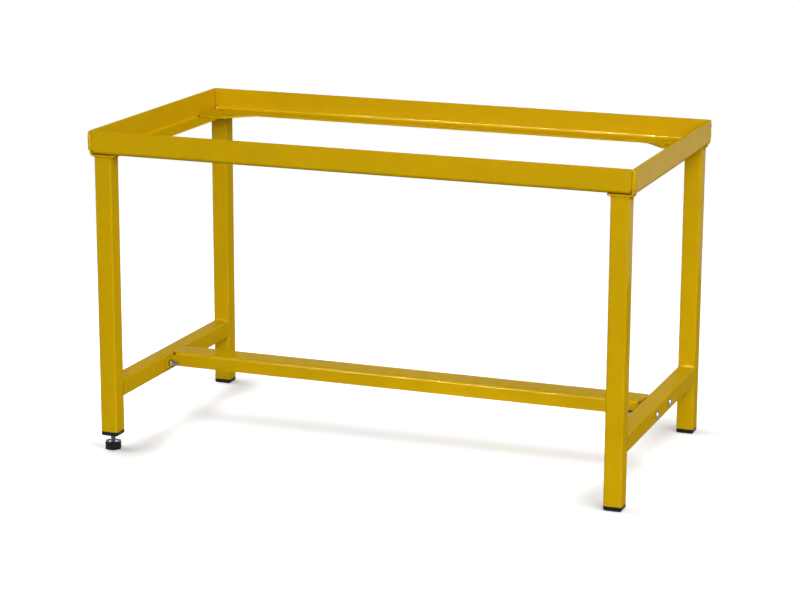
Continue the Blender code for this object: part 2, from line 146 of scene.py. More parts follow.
# Leg inserts and levelling foot
CAP_RIM = 0.007
CAP_ROUND = 0.0025
FIN_COUNT = 3
FIN_PITCH = 0.006
FIN_SIZE = TUBE - 2 * (TUBE_WALL + SEAT_GAP)
FIN_REACH = 0.0015
PLUG_SIZE = FIN_SIZE - 2 * FIN_REACH
PLUG_WALL = 0.002
PLUG_TOP = CAP_RIM + FIN_COUNT * FIN_PITCH
INSERT_NUT_POCKET = 0.0136
INSERT_NUT_DEPTH = 0.0068
INSERT_NUT_FLOOR = PLUG_TOP - INSERT_NUT_DEPTH
STUD_DIAMETER = 0.008
STUD_PITCH = 0.00125
STUD_SPIGOT = 0.006
COLLAR_DIAMETER = 0.016
COLLAR_HEIGHT = 0.002
COLLAR_CLEARANCE = 0.0006
BASE_FLATS = 0.026
BASE_HEIGHT = BASE_HIGH.z - BASE_LOW.z
BASE_CORNER = 0.002
BASE_ROUND = 0.0012
BASE_TURN = math.radians(22.5)
RECESS_DEPTH = 0.003
COLLAR_SEAT = STUD_LOW.z + STUD_SPIGOT

# Small edges
SHEET_EDGE = 0.0008
TUBE_EDGE = 0.0004
CHAMFER = 0.0006
SMALL_CORNER = 0.0003

# Weld beads
BEAD_STEP = 0.0006
BEAD_SIDES = 14
BEAD_TIP = 0.12
BEAD_RIPPLE = 0.04
RIPPLE_PITCH = 0.0022
BEAD_LUMP = 0.14
LUMP_SCALE = 140
TRAY_BEAD_OUT = 0.0048
TRAY_BEAD_INTO = 0.0016
TRAY_BEAD_WIDE = 0.0038
TRAY_BEAD_SINK = 0.001
TRAY_BEAD_IN = 0.0031
TRAY_BEAD_LOW = 0.0055
TRAY_BEAD_HIGH = 0.0006
FILLET_ROOT = 0.1
FILLET_HOLLOW = 0.86
LEG_BEAD = 0.0062
CROSS_BEAD = 0.0036

# Points on round shapes
CORNER_STEPS = 8
HEX_STEPS = 4
ROUND_SIDES = 6 * (HEX_STEPS + 1)
EDGE_STEPS = 6
FOLD_STEPS = 10
FLARE_STEPS = 28
HOLE_SIDES = 48
BEVEL_STEPS = 3

CUT_PAST = 0.001
QUARTER_TURN = math.radians(90)
SHARP_ANGLE = math.radians(35)
FLAT_ANGLE = math.radians(0.5)
SAME_POINT = 1e-6
FACE_WEIGHT = 100

CORNERS = {"front_left": (-1, -1), "front_right": (1, -1), "rear_left": (-1, 1), "rear_right": (1, 1)}
LEVELLED_CORNER = "front_left"
ENDS = {"left": -1, "right": 1}
SIDES = {"front": -1, "rear": 1}

# Camera of the photograph, for a frame of 800 x 599 pixels
CAMERA_PLACE = Vector((1.44057, -3.82186, 1.25101))
CAMERA_AIM = Vector((-0.00758, 0.0, 0.24824))
CAMERA_ROLL = math.radians(0.211)
FOCAL_PIXELS = 2466.7
FRAME_PIXELS = 800
SENSOR_WIDTH = 36

# Light
STAND_MIDDLE = Vector((0, 0, TRAY_TOP / 2))
WORLD_LOW = 0.68
WORLD_HIGH = 0.10
KEY_PLACE = Vector((3.7, -5.2, 4.2))
KEY_SIZE = (5.6, 5.6)
KEY_POWER = 534
BACK_PLACE = Vector((-4.7, 4.3, 3.2))
BACK_SIZE = (3.4, 3.4)
BACK_POWER = 60
TOP_PLACE = Vector((0.0, 0.0, 1.35))
TOP_SIZE = (1.0, 0.5)
TOP_POWER = 1.0
LEFT_PLACE = Vector((-1.1, 0.05, 1.6))
RIGHT_PLACE = Vector((1.0, -0.45, 1.6))
SIDE_SIZE = (1.5, 0.8)
SIDE_SPREAD = math.radians(90)
SIDE_POWER = 6
GLINT_PLACE = Vector((-0.75, -2.9, 1.1))
GLINT_SIZE = (1.5, 0.36)
GLINT_POWER = 8000
GLINT_COLOR = (1.0, 0.95, 0.42)
RIGHT_CARD_PLACE = Vector((1.05, 1.15, 0.2))
RIGHT_CARD_SIZE = (0.9, 0.42)
RIGHT_CARD_POWER = 14
REAR_CARD_PLACE = Vector((-0.5, 1.25, 0.45))
REAR_CARD_SIZE = (1.3, 0.5)
REAR_CARD_POWER = 12.5

# Floor: its colours as seen, its grey as a source of light, and its glow, dimmed round each foot as a
# painted shadow
FLOOR_SIZE = 40
FLOOR_DROP = 0.0002
FLOOR_COLOR = (0.93, 0.935, 0.945)
FLOOR_TONE = (0.91, 0.915, 0.925)
FLOOR_CLOUDS = (0.6, 2)
FLOOR_BOUNCE_NEAR = 0.98
FLOOR_BOUNCE_FAR = 0.35
BOUNCE_MIDDLE = (0.22, -0.1, 0)
BOUNCE_INNER = 0.14
BOUNCE_OUTER = 0.26
FLOOR_GLOW_NEAR = 0.41
FLOOR_GLOW_FAR = 0.74
FLOOR_MIDDLE = (0, -0.15, 0)
FLOOR_NEAR = 0.35
FLOOR_FAR = 1.6
FOOT_SHADOW_GLOW = 0.3
FOOT_SHADOW_NEAR = 0.02
FOOT_SHADOW_FAR = 0.16

# Finishes: colours, noises as scale and detail, bumps as depth and strength
PAINT_COLOR = (0.595, 0.365, 0.002)
PAINT_DARK = (0.55, 0.335, 0.0018)
# Painted shade: the brown the paint turns to in crevices, holes and gaps, and how far and how finely
# occlusion is sought
PAINTED_SHADE_COLOR = (0.32, 0.10, 0.0006)
SHADE_REACH = 0.012
SHADE_SAMPLES = 8
PAINT_CLOUDS = (14, 3)
PAINT_GRAIN = (1100, 2)
PAINT_PEEL = (420, 1)
PAINT_PEEL_BUMP = (0.0001, 0.6)
PAINT_FLOW = (130, 2)
PAINT_ROUGHNESS = (0.5, 0.6)
COAT_WEIGHT = 0.02
COAT_ROUGHNESS = (0.05, 0.15)
ZINC_COLOR = (0.36, 0.385, 0.42)
ZINC_DARK = (0.17, 0.18, 0.20)
ZINC_GLANCING = (0.40, 0.42, 0.45)
ZINC_CLOUDS = (320, 3)
ZINC_GRAIN = (2600, 2)
ZINC_GRAIN_BUMP = (0.00002, 0.5)
ZINC_ROUGHNESS = (0.22, 0.36)
PLASTIC_COLOR = (0.006, 0.006, 0.0065)
PLASTIC_WORN = (0.022, 0.022, 0.023)
PLASTIC_SCUFFS = (240, 4)
PLASTIC_GRAIN = (3000, 1)
PLASTIC_GRAIN_BUMP = (0.00003, 0.5)
PLASTIC_ROUGHNESS = (0.4, 0.55)
PLASTIC_SPECULAR = 0.15
WORN_EDGE = 0.001
EDGE_SAMPLES = 4
EDGE_LEAN = (0.80, 0.99)


# Node helpers

def new_material(name):
    material = bpy.data.materials.new(name)
    material.use_nodes = True
    nodes = material.node_tree.nodes
    return material, nodes, material.node_tree.links, nodes["Principled BSDF"]


def add_noise(nodes, links, coordinates, scale, detail):
    texture = nodes.new("ShaderNodeTexNoise")
    texture.inputs["Scale"].default_value = scale
    texture.inputs["Detail"].default_value = detail
    links.new(coordinates, texture.inputs["Vector"])
    return texture.outputs["Fac"]


def add_range(nodes, links, value, low, high, to_low, to_high):
    """Stretch a value from one range to another, held at its ends."""
    node = nodes.new("ShaderNodeMapRange")
    numbers = {"From Min": low, "From Max": high, "To Min": to_low, "To Max": to_high}
    for socket, number in numbers.items():
        node.inputs[socket].default_value = number
    links.new(value, node.inputs["Value"])
    return node.outputs["Result"]


def add_mix(nodes, links, factor, first, second):
    """Mix two colours, each a triple or a socket."""
    node = nodes.new("ShaderNodeMix")
    node.data_type = "RGBA"
    links.new(factor, node.inputs["Factor"])
    for socket, color in ((node.inputs[6], first), (node.inputs[7], second)):
        if isinstance(color, tuple):
            socket.default_value = (*color, 1.0)
        else:
            links.new(color, socket)
    return node.outputs[2]


def add_distance(nodes, links, coordinates, point):
    node = nodes.new("ShaderNodeVectorMath")
    node.operation = "DISTANCE"
    links.new(coordinates, node.inputs[0])
    node.inputs[1].default_value = point
    return node.outputs["Value"]


def add_bump(nodes, links, height, distance, strength):
    node = nodes.new("ShaderNodeBump")
    node.inputs["Distance"].default_value = distance
    node.inputs["Strength"].default_value = strength
    links.new(height, node.inputs["Height"])
    return node.outputs["Normal"]


def edge_mask(nodes, links, radius):
    """1 along edges and 0 on flat faces, from how far a rounded normal leans away from the true one."""
    rounded = nodes.new("ShaderNodeBevel")
    rounded.samples = EDGE_SAMPLES
    rounded.inputs["Radius"].default_value = radius
    true_normal = nodes.new("ShaderNodeNewGeometry")
    dot = nodes.new("ShaderNodeVectorMath")
    dot.operation = "DOT_PRODUCT"
    links.new(rounded.outputs["Normal"], dot.inputs[0])
    links.new(true_normal.outputs["Normal"], dot.inputs[1])
    return add_range(nodes, links, dot.outputs["Value"], *EDGE_LEAN, 1.0, 0.0)


# Materials

def paint_material():
    """Yellow powder coat: cloudy, grainy, with orange peel under a thin gloss, and painted shade
    darkening its crevices.
    """
    material, nodes, links, shader = new_material("yellow_powder_coat")
    place = nodes.new("ShaderNodeTexCoord").outputs["Object"]
    clouds = add_noise(nodes, links, place, *PAINT_CLOUDS)
    cloud_share = add_range(nodes, links, clouds, 0.35, 0.7, 0.0, 1.0)
    cloudy = add_mix(nodes, links, cloud_share, PAINT_COLOR, PAINT_DARK)
    grain = add_noise(nodes, links, place, *PAINT_GRAIN)
    grain_share = add_range(nodes, links, grain, 0.3, 0.75, 0.0, 0.35)
    color = add_mix(nodes, links, grain_share, cloudy, PAINT_DARK)
    # Painted shade: occlusion darkens the colour towards a brown in crevices, holes and gaps
    crevice_shade = nodes.new("ShaderNodeAmbientOcclusion")
    crevice_shade.samples = SHADE_SAMPLES
    crevice_shade.inputs["Distance"].default_value = SHADE_REACH
    unshaded = add_range(nodes, links, crevice_shade.outputs["AO"], 0.1, 0.6, 0.0, 1.0)
    links.new(add_mix(nodes, links, unshaded, PAINTED_SHADE_COLOR, color), shader.inputs["Base Color"])
    peel = add_noise(nodes, links, place, *PAINT_PEEL)
    normal = add_bump(nodes, links, peel, *PAINT_PEEL_BUMP)
    links.new(normal, shader.inputs["Normal"])
    links.new(normal, shader.inputs["Coat Normal"])
    links.new(add_range(nodes, links, clouds, 0.3, 0.7, *PAINT_ROUGHNESS), shader.inputs["Roughness"])
    shader.inputs["Specular IOR Level"].default_value = 0.0
    shader.inputs["Coat Weight"].default_value = COAT_WEIGHT
    flow = add_noise(nodes, links, place, *PAINT_FLOW)
    gloss = add_range(nodes, links, flow, 0.42, 0.58, *COAT_ROUGHNESS)
    links.new(gloss, shader.inputs["Coat Roughness"])
    return material


def zinc_material():
    """Bright zinc plate: bluish silver that varies in tone and gloss."""
    material, nodes, links, shader = new_material("zinc_plate")
    place = nodes.new("ShaderNodeTexCoord").outputs["Object"]
    clouds = add_noise(nodes, links, place, *ZINC_CLOUDS)
    cloud_share = add_range(nodes, links, clouds, 0.35, 0.7, 0.0, 1.0)
    links.new(add_mix(nodes, links, cloud_share, ZINC_COLOR, ZINC_DARK), shader.inputs["Base Color"])
    links.new(add_range(nodes, links, clouds, 0.3, 0.7, *ZINC_ROUGHNESS), shader.inputs["Roughness"])
    grain = add_noise(nodes, links, place, *ZINC_GRAIN)
    links.new(add_bump(nodes, links, grain, *ZINC_GRAIN_BUMP), shader.inputs["Normal"])
    shader.inputs["Metallic"].default_value = 1.0
    shader.inputs["Specular Tint"].default_value = (*ZINC_GLANCING, 1.0)
    return material


def plastic_material():
    """Satin black plastic with a fine moulded grain, scuffed grey along its edges."""
    material, nodes, links, shader = new_material("black_plastic")
    place = nodes.new("ShaderNodeTexCoord").outputs["Object"]
    scuffs = add_noise(nodes, links, place, *PLASTIC_SCUFFS)
    edges = edge_mask(nodes, links, WORN_EDGE)
    worn = nodes.new("ShaderNodeMath")
    worn.operation = "MULTIPLY"
    links.new(edges, worn.inputs[0])
    links.new(add_range(nodes, links, scuffs, 0.45, 0.65, 0.0, 0.8), worn.inputs[1])
    color = add_mix(nodes, links, worn.outputs[0], PLASTIC_COLOR, PLASTIC_WORN)
    links.new(color, shader.inputs["Base Color"])
    links.new(add_range(nodes, links, scuffs, 0.3, 0.7, *PLASTIC_ROUGHNESS), shader.inputs["Roughness"])
    shader.inputs["Specular IOR Level"].default_value = PLASTIC_SPECULAR
    grain = add_noise(nodes, links, place, *PLASTIC_GRAIN)
    links.new(add_bump(nodes, links, grain, *PLASTIC_GRAIN_BUMP), shader.inputs["Normal"])
    return material


def floor_material():
    """Floor that glows white to the camera and in reflections, and is grey as a source of light.

    The glow is dimmed beside each foot, a painted shadow that deepens the cast ones, and one patch
    gives more light.
    """
    material, nodes, links, shader = new_material("white_floor")
    place = nodes.new("ShaderNodeTexCoord").outputs["Object"]
    clouds = add_noise(nodes, links, place, *FLOOR_CLOUDS)
    cloud_share = add_range(nodes, links, clouds, 0.3, 0.7, 0.0, 1.0)
    color = add_mix(nodes, links, cloud_share, FLOOR_COLOR, FLOOR_TONE)
    shader.inputs["Roughness"].default_value = 1.0
    shader.inputs["Specular IOR Level"].default_value = 0.0
    rays = nodes.new("ShaderNodeLightPath").outputs
    seen = rays["Is Camera Ray"]
    for kind in ("Is Glossy Ray", "Is Transmission Ray"):
        either = nodes.new("ShaderNodeMath")
        either.operation = "MAXIMUM"
        links.new(seen, either.inputs[0])
        links.new(rays[kind], either.inputs[1])
        seen = either.outputs[0]
    patch = add_distance(nodes, links, place, BOUNCE_MIDDLE)
    greys = (FLOOR_BOUNCE_NEAR, FLOOR_BOUNCE_FAR)
    bounce = add_range(nodes, links, patch, BOUNCE_INNER, BOUNCE_OUTER, *greys)
    links.new(add_mix(nodes, links, seen, bounce, color), shader.inputs["Base Color"])
    reach = add_distance(nodes, links, place, FLOOR_MIDDLE)
    glow = add_range(nodes, links, reach, FLOOR_NEAR, FLOOR_FAR, FLOOR_GLOW_NEAR, FLOOR_GLOW_FAR)
    # Painted shadow: the glow dims towards the nearest foot, at whichever corner it stands
    quarter = nodes.new("ShaderNodeVectorMath")
    quarter.operation = "ABSOLUTE"
    links.new(place, quarter.inputs[0])
    foot = add_distance(nodes, links, quarter.outputs["Vector"], (LEG_X, LEG_Y, 0))
    clear = add_range(nodes, links, foot, FOOT_SHADOW_NEAR, FOOT_SHADOW_FAR, FOOT_SHADOW_GLOW, 1.0)
    for factor in (clear, seen):
        product = nodes.new("ShaderNodeMath")
        product.operation = "MULTIPLY"
        links.new(glow, product.inputs[0])
        links.new(factor, product.inputs[1])
        glow = product.outputs[0]
    links.new(glow, shader.inputs["Emission Strength"])
    shader.inputs["Emission Color"].default_value = (1, 1, 1, 1)
    return material


# Meshes

def finish_mesh(name, work, sharp=True):
    mesh = bpy.data.meshes.new(name)
    work.to_mesh(mesh)
    work.free()
    mesh.shade_smooth()
    if sharp:
        mesh.set_sharp_from_angle(angle=SHARP_ANGLE)
    return mesh


def rounded_polygon(sides, flats, corner, z, steps):
    """Loop of a regular polygon with round corners, steps + 1 points on each corner."""
    half_corner = math.pi / sides
    reach = (flats / 2 - corner) / math.cos(half_corner)
    points = []
    for index in range(sides):
        middle = half_corner * (2 * index + 1)
        for step in range(steps + 1):
            angle = middle + half_corner * (2 * step / steps - 1)
            x = reach * math.cos(middle) + corner * math.cos(angle)
            y = reach * math.sin(middle) + corner * math.sin(angle)
            points.append(Vector((x, y, z)))
    return points


def square(size, z, corner=TUBE_CORNER):
    return rounded_polygon(4, size, corner, z, CORNER_STEPS)


def hexagon(flats, z, corner=SMALL_CORNER):
    return rounded_polygon(6, flats, corner, z, HEX_STEPS)


def circle(diameter, z, count=ROUND_SIDES):
    points = []
    for index in range(count):
        angle = 2 * math.pi * index / count
        points.append(Vector((diameter / 2 * math.cos(angle), diameter / 2 * math.sin(angle), z)))
    return points


def thread_loops(diameter, pitch, low, high):
    """Loops of a right-hand thread from low to high: the groove winds round as the loops climb."""
    rows = round((high - low) / pitch * THREAD_ROWS)
    loops = []
    for row in range(rows + 1):
        z = low + (high - low) * row / rows
        loop = []
        for index in range(ROUND_SIDES):
            angle = 2 * math.pi * index / ROUND_SIDES
            phase = (z / pitch - index / ROUND_SIDES) % 1.0
            groove = min(1.0, max(0.0, THREAD_GROOVE - abs(2 * phase - 1) * THREAD_FLANK))
            radius = diameter / 2 - THREAD_DEPTH * pitch * groove
            loop.append(Vector((radius * math.cos(angle), radius * math.sin(angle), z)))
        loops.append(loop)
    return loops


def loft(name, loops, closed=False, sharp=True):
    """Skin a stack of loops, with end faces unless it closes from its last loop to its first."""
    work = bmesh.new()
    rows = [[work.verts.new(point) for point in loop] for loop in loops]
    pairs = list(zip(rows, rows[1:]))
    if closed:
        pairs.append((rows[-1], rows[0]))
    else:
        work.faces.new(rows[0])
        work.faces.new(rows[-1])
    for low, high in pairs:
        for index in range(len(low)):
            after = (index + 1) % len(low)
            work.faces.new((low[index], low[after], high[after], high[index]))
    bmesh.ops.recalc_face_normals(work, faces=work.faces)
    return finish_mesh(name, work, sharp)


# Pieces

def add_piece(name, mesh, slot, body, *nodes):
    """Put a mesh in the scene with its finish, on its body, in place of its CAD nodes."""
    piece = bpy.data.objects.new(name, mesh)
    bpy.context.scene.collection.objects.link(piece)
    mesh.materials.clear()
    mesh.materials.append(FINISHES[slot])
    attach(piece, body)
    STAND.objects.link(piece)
    if slot == "frame_paint":
        PAINTED.objects.link(piece)
    if nodes:
        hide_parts(*nodes)
    return piece


def round_edges(piece, width):
    """Round the edges of a piece as paint does, and keep its flat faces flat."""
    bevel = piece.modifiers.new("edges", "BEVEL")
    bevel.width = width
    bevel.segments = BEVEL_STEPS
    bevel.limit_method = "ANGLE"
    bevel.angle_limit = SHARP_ANGLE
    normals = piece.modifiers.new("normals", "WEIGHTED_NORMAL")
    normals.weight = FACE_WEIGHT


def scratch_object(name, mesh):
    item = bpy.data.objects.new(name, mesh)
    bpy.context.scene.collection.objects.link(item)
    return item


def worked_mesh(name, mesh, cutters=(), thickness=0.0):
    """The mesh after it is thickened as sheet and cut, with its flat faces joined."""
    item = scratch_object(name, mesh)
    if thickness:
        sheet = item.modifiers.new("sheet", "SOLIDIFY")
        sheet.thickness = thickness
        sheet.offset = -1
        sheet.use_even_offset = True
    tools = []
    for index, cutter in enumerate(cutters):
        tools.append(scratch_object(name + "_cutter_" + str(index), cutter))
        cut = item.modifiers.new("cut", "BOOLEAN")
        cut.operation = "DIFFERENCE"
        cut.solver = "EXACT"
        cut.object = tools[-1]
    graph = bpy.context.evaluated_depsgraph_get()
    result = bpy.data.meshes.new_from_object(item.evaluated_get(graph))
    for used in [item] + tools:
        bpy.data.objects.remove(used, do_unlink=True)
    work = bmesh.new()
    work.from_mesh(result)
    bmesh.ops.remove_doubles(work, verts=work.verts, dist=SAME_POINT)
    bmesh.ops.dissolve_limit(work, angle_limit=FLAT_ANGLE, verts=work.verts, edges=work.edges)
    return finish_mesh(name, work, sharp=False)


def drill(diameter, start, end):
    """Round cutter from one point to another."""
    span = end - start
    turn = span.to_track_quat("Z", "Y")
    mesh = loft("drill", [circle(diameter, z, HOLE_SIDES) for z in (0, span.length)])
    mesh.transform(Matrix.Translation(start) @ turn.to_matrix().to_4x4())
    return mesh


def placed(mesh, location, turn=0.0, axis="Z"):
    """Copy of a mesh, turned about an axis and moved to its place."""
    copy = mesh.copy()
    copy.transform(Matrix.Translation(location) @ Matrix.Rotation(turn, 4, axis))
    return copy


# Tray rails

def rounded_edge(full, corner, from_end):
    """Reach of an edge at a distance from its end, where the end has a round corner."""
    if from_end >= corner:
        return full
    return full - corner + math.sqrt(corner ** 2 - (corner - from_end) ** 2)


def corner_offsets(corner):
    """Distances from an end at which a round corner has its points, outermost last."""
    angles = [QUARTER_TURN * step / CORNER_STEPS for step in range(CORNER_STEPS + 1)]
    return [corner * (1 - math.sin(angle)) for angle in angles]


def angle_row(along, top, depth):
    """Outer face of an angle at one place along it: upstand, fold and flange, or the upstand alone."""
    points = [Vector((along, 0, top)), Vector((along, 0, NOTCH_HEIGHT))]
    if depth is None:
        return points
    for step in range(FOLD_STEPS + 1):
        angle = QUARTER_TURN * step / FOLD_STEPS
        inward = RAIL_FOLD * (1 - math.cos(angle))
        points.append(Vector((along, inward, RAIL_FOLD * (1 - math.sin(angle)))))
    points.append(Vector((along, depth, 0)))
    return points


def angle_mesh(name, half_rows):
    """Surface of an angle that is alike about its middle; half_rows run from the middle to one end."""
    rows = [(-along, top, depth) for along, top, depth in reversed(half_rows)] + half_rows
    work = bmesh.new()
    columns = [[work.verts.new(point) for point in angle_row(*row)] for row in rows]
    for here, there in zip(columns, columns[1:]):
        for index in range(min(len(here), len(there)) - 1):
            work.faces.new((here[index], here[index + 1], there[index + 1], there[index]))
    return finish_mesh(name, work)


def long_rail_mesh():
    """Front or rear rail: its flange widens in an S to a tab, short of the end rail's upstand."""
    flare_start = TAB_SIDE - TAB_LENGTH - FLARE_LENGTH
    half_rows = []
    for step in range(FLARE_STEPS + 1):
        share = step / FLARE_STEPS
        widening = (1 - math.cos(math.pi * share)) / 2
        depth = RAIL_FLANGE + (TAB_DEPTH - RAIL_FLANGE) * widening
        half_rows.append((flare_start + FLARE_LENGTH * share, RAIL_HEIGHT, depth))
    for offset in corner_offsets(TAB_CORNER):
        half_rows.append((TAB_SIDE - offset, RAIL_HEIGHT, rounded_edge(TAB_DEPTH, TAB_CORNER, offset)))
    half_rows.append((RAIL_END, RAIL_HEIGHT, None))
    return angle_mesh("long_rail", half_rows)


def end_rail_mesh():
    """End rail: a plain angle with round corners on its upstand and its flange."""
    offsets = sorted(set(corner_offsets(FLANGE_CORNER) + corner_offsets(UPSTAND_CORNER)), reverse=True)
    half_rows = []
    for offset in offsets:
        top = rounded_edge(END_RAIL_HEIGHT, UPSTAND_CORNER, offset)
        depth = rounded_edge(RAIL_FLANGE, FLANGE_CORNER, offset)
        half_rows.append((TRAY_DEPTH / 2 - offset, top, depth))
    return angle_mesh("end_rail", half_rows)


def fixing_holes(x_signs, y_signs):
    """Drills for holes at some of the tray's corners: over the leg and further in, wider below."""
    inner_x = TAB_SIDE - INNER_HOLE_FROM_SIDE
    inner_y = TRAY_DEPTH / 2 - TAB_DEPTH + INNER_HOLE_FROM_EDGE
    mouth = FIXING_HOLE + 2 * RAIL_SHEET
    countersink = loft("countersink", [
        circle(mouth, END_RAIL_UNDERSIDE - CUT_PAST, HOLE_SIDES),
        circle(mouth, RAIL_UNDERSIDE, HOLE_SIDES),
        circle(FIXING_HOLE - 2 * CUT_PAST, RAIL_UNDERSIDE + RAIL_SHEET + CUT_PAST, HOLE_SIDES),
    ])
    drills = []
    for x_sign in x_signs:
        for y_sign in y_signs:
            for x, y in ((LEG_X, LEG_Y), (inner_x, inner_y)):
                drills.append(placed(countersink, (x_sign * x, y_sign * y, 0)))
    return drills


def add_rail(name, surface, holes):
    mesh = worked_mesh(name + "_sheet", surface, holes, RAIL_SHEET)
    round_edges(add_piece(name + "_sheet", mesh, "frame_paint", "frame", name), SHEET_EDGE)


def add_tray():
    long_rail = long_rail_mesh()
    for side, sign in SIDES.items():
        turn = math.pi if sign > 0 else 0.0
        surface = placed(long_rail, (0, sign * TRAY_DEPTH / 2, RAIL_UNDERSIDE), turn)
        add_rail(side + "_rail", surface, fixing_holes(ENDS.values(), (sign,)))
    end_rail = end_rail_mesh()
    for end, sign in ENDS.items():
        surface = placed(end_rail, (sign * TRAY_LENGTH / 2, 0, END_RAIL_UNDERSIDE), sign * QUARTER_TURN)
        add_rail(end + "_end_rail", surface, fixing_holes((sign,), SIDES.values()))


# Legs, cross rails and stretcher

def tube_mesh(name, length):
    """Square tube standing on its local origin."""
    inner = TUBE - 2 * TUBE_WALL
    inner_corner = TUBE_CORNER - TUBE_WALL
    loops = [
        square(TUBE, 0),
        square(TUBE, length),
        square(inner, length, inner_corner),
        square(inner, 0, inner_corner),
    ]
    return loft(name, loops, closed=True, sharp=False)


def add_legs():
    for corner, (x_sign, y_sign) in CORNERS.items():
        node = corner + "_leg"
        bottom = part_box(node)[0].z
        mesh = placed(tube_mesh(node, LEG_TOP - bottom), (x_sign * LEG_X, y_sign * LEG_Y, bottom))
        round_edges(add_piece(node + "_tube", mesh, "frame_paint", "frame", node), TUBE_EDGE)


def bolt_holes(x_sign):
    drills = []
    for y_sign in SIDES.values():
        start = Vector((x_sign * (EAR_START - CUT_PAST), y_sign * BOLT_Y, BOLT_Z))
        end = Vector((x_sign * (CROSS_HIGH.x + CUT_PAST), y_sign * BOLT_Y, BOLT_Z))
        drills.append(drill(BOLT_DIAMETER + 2 * SEAT_GAP, start, end))
    return drills


def add_cross_rails():
    length = CROSS_HIGH.y - CROSS_LOW.y
    for end, sign in ENDS.items():
        node = end + "_cross_rail"
        tube = placed(tube_mesh(node, length), (sign * LEG_X, length / 2, BOLT_Z), QUARTER_TURN, "X")
        mesh = worked_mesh(node + "_tube", tube, bolt_holes(sign))
        round_edges(add_piece(node + "_tube", mesh, "frame_paint", "frame", node), TUBE_EDGE)


def stretcher_section():
    """Outer face of the channel across its length, from its front lower edge to its rear one."""
    half = STRETCHER_WIDTH / 2
    shoulder = STRETCHER_TOP - STRETCHER_FOLD
    front = [(-half, STRETCHER_BOTTOM)]
    for step in range(FOLD_STEPS + 1):
        angle = QUARTER_TURN * step / FOLD_STEPS
        y = -half + STRETCHER_FOLD * (1 - math.cos(angle))
        front.append((y, shoulder + STRETCHER_FOLD * math.sin(angle)))
    return front + [(-y, z) for y, z in reversed(front)]


def ear_strip():
    """Path of an ear past the channel's side: (along, out, trim of its upper and lower edges)."""
    strip = []
    for step in range(1, FOLD_STEPS + 1):
        angle = QUARTER_TURN * step / FOLD_STEPS
        strip.append((EAR_BEND * math.sin(angle), EAR_BEND * (1 - math.cos(angle)), 0.0))
    for offset in corner_offsets(EAR_CORNER):
        trim = EAR_CORNER - rounded_edge(EAR_CORNER, EAR_CORNER, offset)
        strip.append((EAR_BEND, EAR_WIDTH - offset, trim))
    return strip


def stretcher_mesh():
    section = stretcher_section()
    last = len(section) - 1
    flat_front = FOLD_STEPS + 1
    flat_rear = last - flat_front
    work = bmesh.new()
    rows = {}
    for x_sign in ENDS.values():
        rows[x_sign] = [work.verts.new((x_sign * EAR_START, y, z)) for y, z in section]
    for index in range(last):
        work.faces.new((rows[-1][index], rows[1][index], rows[1][index + 1], rows[-1][index + 1]))
    for x_sign in ENDS.values():
        row = rows[x_sign]
        end = x_sign * STRETCHER_END
        top_end = [work.verts.new((end, *section[index])) for index in (flat_front, flat_rear)]
        top_face = [row[flat_front], top_end[0], top_end[1], row[flat_rear]]
        work.faces.new(top_face if x_sign > 0 else list(reversed(top_face)))
        for y_sign in SIDES.values():
            low, high = (row[0], row[1]) if y_sign < 0 else (row[last], row[last - 1])
            for along, out, trim in ear_strip():
                x = x_sign * (EAR_START + along)
                y = y_sign * (STRETCHER_WIDTH / 2 + out)
                next_low = work.verts.new((x, y, STRETCHER_BOTTOM + trim))
                next_high = work.verts.new((x, y, STRETCHER_TOP - STRETCHER_FOLD - trim))
                face = [low, next_low, next_high, high]
                work.faces.new(face if x_sign * y_sign < 0 else list(reversed(face)))
                low, high = next_low, next_high
    return finish_mesh("stretcher", work)


def relief_holes(x_sign):
    """Drills for the round notches where the channel's folds meet the bends of its ears."""
    drills = []
    for y_sign in SIDES.values():
        x = x_sign * (EAR_START + RELIEF_ALONG)
        z = STRETCHER_TOP - RELIEF_DROP
        edge = STRETCHER_WIDTH / 2
        start = Vector((x, y_sign * (edge + CUT_PAST), z))
        drills.append(drill(RELIEF_HOLE, start, Vector((x, y_sign * (edge - RELIEF_REACH), z))))
    return drills


def add_stretcher():
    holes = [hole for sign in ENDS.values() for hole in bolt_holes(sign) + relief_holes(sign)]
    mesh = worked_mesh("stretcher_channel", stretcher_mesh(), holes, STRETCHER_SHEET)
    round_edges(add_piece("stretcher_channel", mesh, "frame_paint", "frame", "stretcher"), TUBE_EDGE)


# Weld beads

def oval_section(out, into, half_width):
    """Section of a bead laid over a seam between sheets, which stands out further than it sinks in."""
    section = []
    for step in range(BEAD_SIDES):
        angle = 2 * math.pi * step / BEAD_SIDES
        depth = out if math.cos(angle) > 0 else into
        section.append((depth * math.cos(angle), half_width * math.sin(angle)))
    return section


def fillet_section(leg):
    """Section of a bead in an inside corner: legs on the two faces and a slightly hollow face."""
    root = -FILLET_ROOT * leg
    section = [(root, root)]
    for step in range(BEAD_SIDES - 1):
        angle = QUARTER_TURN * step / (BEAD_SIDES - 2)
        first = leg * (1 - FILLET_HOLLOW * math.sin(angle))
        section.append((first, leg * (1 - FILLET_HOLLOW * math.cos(angle))))
    section[1] = (leg, root)
    section[-1] = (root, leg)
    return section


